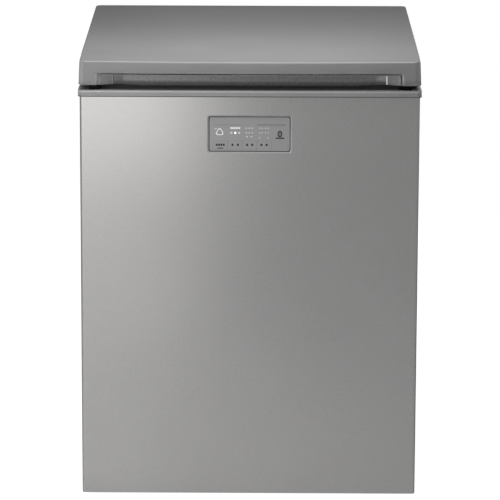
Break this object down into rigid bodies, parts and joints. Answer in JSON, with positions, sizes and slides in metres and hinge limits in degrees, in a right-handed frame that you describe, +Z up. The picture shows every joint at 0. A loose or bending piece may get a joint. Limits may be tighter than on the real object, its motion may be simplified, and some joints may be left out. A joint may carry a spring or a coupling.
{
  "type": "kimchi refrigerator",
  "caption": "Chest refrigerator for fermented food with a top-hinged insulated lid, a recessed front handle, a keypad and containers with bail handles.",
  "frame": {"origin": "on the floor, under the middle of the refrigerator's bounding box", "axes": "+Z up, the front with the control panel faces -Y, +X to the viewer's right"},
  "size_m": [0.664, 0.6203, 0.908],
  "materials": {
    "front_steel": "satin",
    "case_paint": "satin",
    "pan_metal": "satin",
    "frame_plastic": "satin",
    "tub_white": "gloss",
    "foam": "matte",
    "tube_metal": "satin",
    "black_plastic": "matte",
    "compressor_black": "satin",
    "rubber_black": "matte",
    "fan_white": "matte",
    "board_green": "satin",
    "zinc": "satin",
    "spring_steel": "satin",
    "panel_face": "satin",
    "foot_plastic": "matte",
    "lid_shell": "satin",
    "gasket_rubber": "matte",
    "recess_gloss": "gloss",
    "container_body": "satin",
    "container_cover": "satin",
    "bail_plastic": "satin"
  },
  "bodies": {
    "cabinet": {"front_panel": "front_steel", "side_panels": "case_paint", "back_panel": "case_paint", "base_pan": "pan_metal", "machine_roof": "pan_metal", "top_frame": "frame_plastic", "inner_tub": "tub_white", "insulation_foam": "foam", "evaporator_coil": "tube_metal", "tub_heater": "tube_metal", "temperature_sensor": "black_plastic", "compressor": "compressor_black", "compressor_base": "pan_metal", "compressor_cover": "black_plastic", "compressor_grommets": "rubber_black", "fan_shroud": "black_plastic", "fan_motor": "black_plastic", "condenser": "tube_metal", "refrigerant_pipes": "tube_metal", "control_box": "fan_white", "circuit_boards": "board_green", "rear_cover": "pan_metal", "cabinet_screws": "zinc", "cord_grommet": "rubber_black", "roller_brackets": "zinc", "panel_bezel": "frame_plastic", "panel_overlay": "panel_face", "panel_housing": "tub_white", "hinge_brackets": "zinc", "hinge_pins": "zinc", "hinge_springs": "spring_steel"},
    "lid": {"lid_outer": "lid_shell", "lid_foam": "foam", "lid_liner": "tub_white", "lid_gasket": "gasket_rubber", "handle_insert": "recess_gloss", "hinge_leaves": "zinc"},
    "fan": {"fan_blade": "fan_white"},
    "roller_left": {"roller_left": "foot_plastic"},
    "roller_right": {"roller_right": "foot_plastic"},
    "foot_pad_left": {"foot_pad_left": "foot_plastic"},
    "foot_stud_left": {"foot_stud_left": "zinc"},
    "foot_pad_right": {"foot_pad_right": "foot_plastic"},
    "foot_stud_right": {"foot_stud_right": "zinc"},
    "key_1": {"key_1": "panel_face"},
    "key_2": {"key_2": "panel_face"},
    "key_3": {"key_3": "panel_face"},
    "key_4": {"key_4": "panel_face"},
    "container_1": {"container_1": "container_body"},
    "container_lid_1": {"container_lid_1": "container_cover"},
    "bail_1": {"bail_1": "bail_plastic"},
    "container_2": {"container_2": "container_body"},
    "container_lid_2": {"container_lid_2": "container_cover"},
    "bail_2": {"bail_2": "bail_plastic"},
    "container_3": {"container_3": "container_body"},
    "container_lid_3": {"container_lid_3": "container_cover"},
    "bail_3": {"bail_3": "bail_plastic"},
    "container_4": {"container_4": "container_body"},
    "container_lid_4": {"container_lid_4": "container_cover"},
    "bail_4": {"bail_4": "bail_plastic"}
  },
  "joints": [
    {"name": "lid_hinge", "type": "hinge", "parent": "cabinet", "child": "lid", "pos_m": [0, 0.3028, 0.824], "axis": [-1, 0, 0], "range_deg": [0, 80], "stiffness_Nm_per_rad": 6, "springref_deg": 114.59},
    {"name": "fan_spin", "type": "hinge", "parent": "cabinet", "child": "fan", "pos_m": [-0.05, 0.1558, 0.096], "axis": [1, 0, 0], "continuous": true},
    {"name": "roller_left_spin", "type": "hinge", "parent": "cabinet", "child": "roller_left", "pos_m": [-0.27, 0.2428, 0.02], "axis": [1, 0, 0], "continuous": true},
    {"name": "roller_right_spin", "type": "hinge", "parent": "cabinet", "child": "roller_right", "pos_m": [0.27, 0.2428, 0.02], "axis": [1, 0, 0], "continuous": true},
    {"name": "foot_left_height", "type": "slide", "parent": "cabinet", "child": "foot_pad_left", "axis": [0, 0, -1], "range_m": [0, 0.012]},
    {"name": "foot_left_turn", "type": "hinge", "parent": "foot_pad_left", "child": "foot_stud_left", "pos_m": [-0.27, -0.2272, 0.02], "axis": [0, 0, 1], "range_deg": [0, 3450]},
    {"name": "foot_right_height", "type": "slide", "parent": "cabinet", "child": "foot_pad_right", "axis": [0, 0, -1], "range_m": [0, 0.012]},
    {"name": "foot_right_turn", "type": "hinge", "parent": "foot_pad_right", "child": "foot_stud_right", "pos_m": [0.27, -0.2272, 0.02], "axis": [0, 0, 1], "range_deg": [0, 3450]},
    {"name": "key_1_press", "type": "slide", "parent": "cabinet", "child": "key_1", "axis": [0, 1, 0], "range_m": [0, 0.0008], "stiffness_N_per_m": 800, "springref_m": -0.0005},
    {"name": "key_2_press", "type": "slide", "parent": "cabinet", "child": "key_2", "axis": [0, 1, 0], "range_m": [0, 0.0008], "stiffness_N_per_m": 800, "springref_m": -0.0005},
    {"name": "key_3_press", "type": "slide", "parent": "cabinet", "child": "key_3", "axis": [0, 1, 0], "range_m": [0, 0.0008], "stiffness_N_per_m": 800, "springref_m": -0.0005},
    {"name": "key_4_press", "type": "slide", "parent": "cabinet", "child": "key_4", "axis": [0, 1, 0], "range_m": [0, 0.0008], "stiffness_N_per_m": 800, "springref_m": -0.0005},
    {"name": "container_1_lift", "type": "slide", "parent": "cabinet", "child": "container_1", "axis": [0, 0, 1], "range_m": [0, 0.2]},
    {"name": "container_1_lid_lift", "type": "slide", "parent": "container_1", "child": "container_lid_1", "axis": [0, 0, 1], "range_m": [0, 0.03]},
    {"name": "bail_1_swing", "type": "hinge", "parent": "container_1", "child": "bail_1", "pos_m": [-0.1325, -0.1222, 0.4341], "axis": [-1, 0, 0], "range_deg": [0, 180]},
    {"name": "container_2_lift", "type": "slide", "parent": "cabinet", "child": "container_2", "axis": [0, 0, 1], "range_m": [0, 0.2]},
    {"name": "container_2_lid_lift", "type": "slide", "parent": "container_2", "child": "container_lid_2", "axis": [0, 0, 1], "range_m": [0, 0.03]},
    {"name": "bail_2_swing", "type": "hinge", "parent": "container_2", "child": "bail_2", "pos_m": [0.1325, -0.1222, 0.4341], "axis": [-1, 0, 0], "range_deg": [0, 180]},
    {"name": "container_3_lift", "type": "slide", "parent": "cabinet", "child": "container_3", "axis": [0, 0, 1], "range_m": [0, 0.2]},
    {"name": "container_3_lid_lift", "type": "slide", "parent": "container_3", "child": "container_lid_3", "axis": [0, 0, 1], "range_m": [0, 0.03]},
    {"name": "bail_3_swing", "type": "hinge", "parent": "container_3", "child": "bail_3", "pos_m": [-0.1325, 0.1078, 0.4341], "axis": [-1, 0, 0], "range_deg": [0, 180]},
    {"name": "container_4_lift", "type": "slide", "parent": "cabinet", "child": "container_4", "axis": [0, 0, 1], "range_m": [0, 0.2]},
    {"name": "container_4_lid_lift", "type": "slide", "parent": "container_4", "child": "container_lid_4", "axis": [0, 0, 1], "range_m": [0, 0.03]},
    {"name": "bail_4_swing", "type": "hinge", "parent": "container_4", "child": "bail_4", "pos_m": [0.1325, 0.1078, 0.4341], "axis": [-1, 0, 0], "range_deg": [0, 180]}
  ],
  "couplings": [
    {"joint": "foot_left_height", "follows": "foot_left_turn", "m_per_rad": 0.00019894},
    {"joint": "foot_right_height", "follows": "foot_right_turn", "m_per_rad": 0.00019894}
  ]
}
